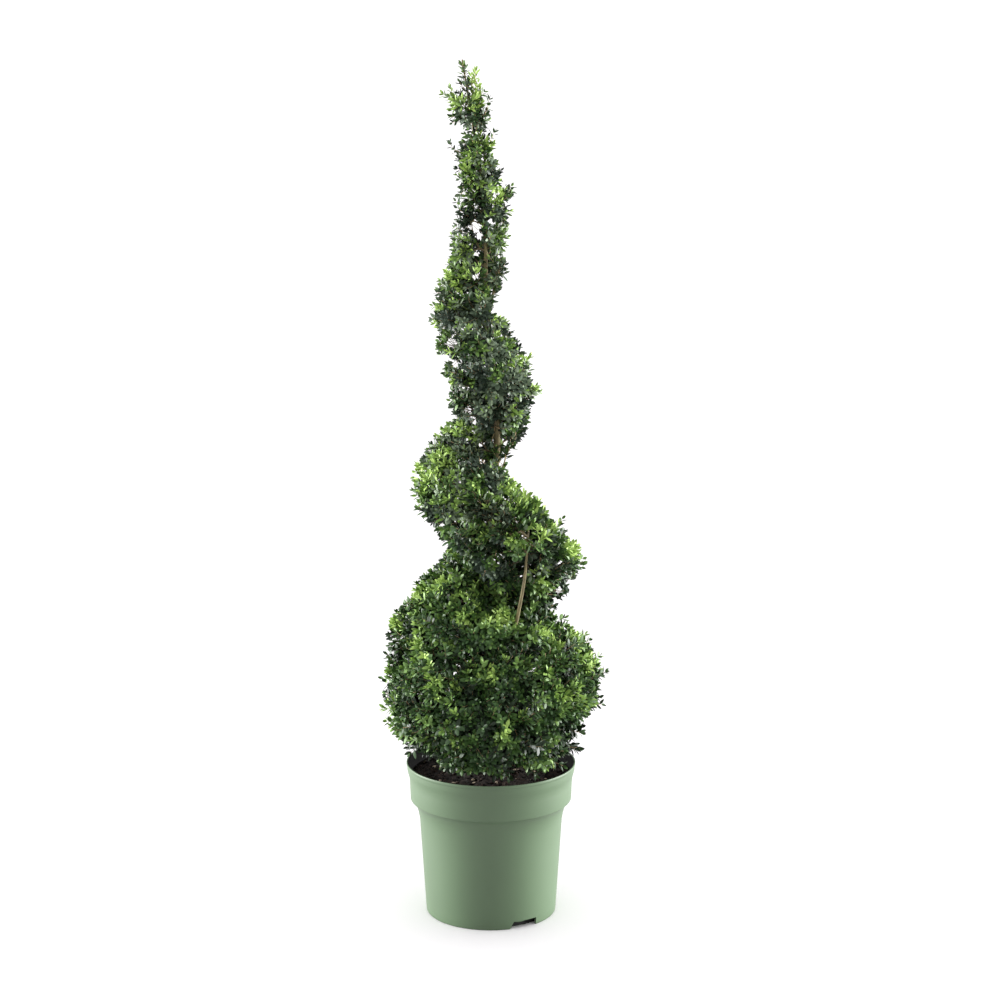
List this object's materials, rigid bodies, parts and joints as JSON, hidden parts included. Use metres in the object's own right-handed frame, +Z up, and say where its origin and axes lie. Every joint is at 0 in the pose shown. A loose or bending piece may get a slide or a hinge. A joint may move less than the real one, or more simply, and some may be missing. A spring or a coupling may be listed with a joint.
{
  "type": "potted spiral topiary",
  "caption": "Potted evergreen shrub clipped as a spiral: a round ball of small leaves that winds up the trunk as a narrowing ribbon to a leafy tip, in a round tapered plastic pot.",
  "frame": {"origin": "middle of the pot's flat underside, on the ground", "axes": "+Z up along the pot's axis and the trunk, +X to the right and the front towards -Y, with the pot's drain notch at the front right"},
  "size_m": [0.305, 0.3049, 1.2032],
  "materials": {
    "pot": "matte moulded",
    "soil": "loose, moist, matte",
    "bark": "rough, finely fissured",
    "foliage": "small glossy leaves"
  },
  "bodies": {
    "root": {"ball_high_1": "foliage", "ball_high_2": "foliage", "ball_high_3": "foliage", "ball_low_1": "foliage", "ball_low_2": "foliage", "ball_low_3": "foliage", "ball_low_4": "foliage", "ball_low_5": "foliage", "ball_low_6": "foliage", "groove_bough_lower": "bark", "groove_bough_upper": "bark", "low_bough_back": "bark", "low_bough_front": "bark", "low_bough_left": "bark", "low_bough_right": "bark", "pot": "pot", "side_stem": "bark", "soil": "soil", "spiral_01": "foliage", "spiral_02": "foliage", "spiral_03": "foliage", "spiral_04": "foliage", "spiral_05": "foliage", "spiral_06": "foliage", "spiral_07": "foliage", "spiral_08": "foliage", "spiral_09": "foliage", "spiral_10": "foliage", "tip": "foliage", "trunk": "bark"}
  },
  "joints": []
}
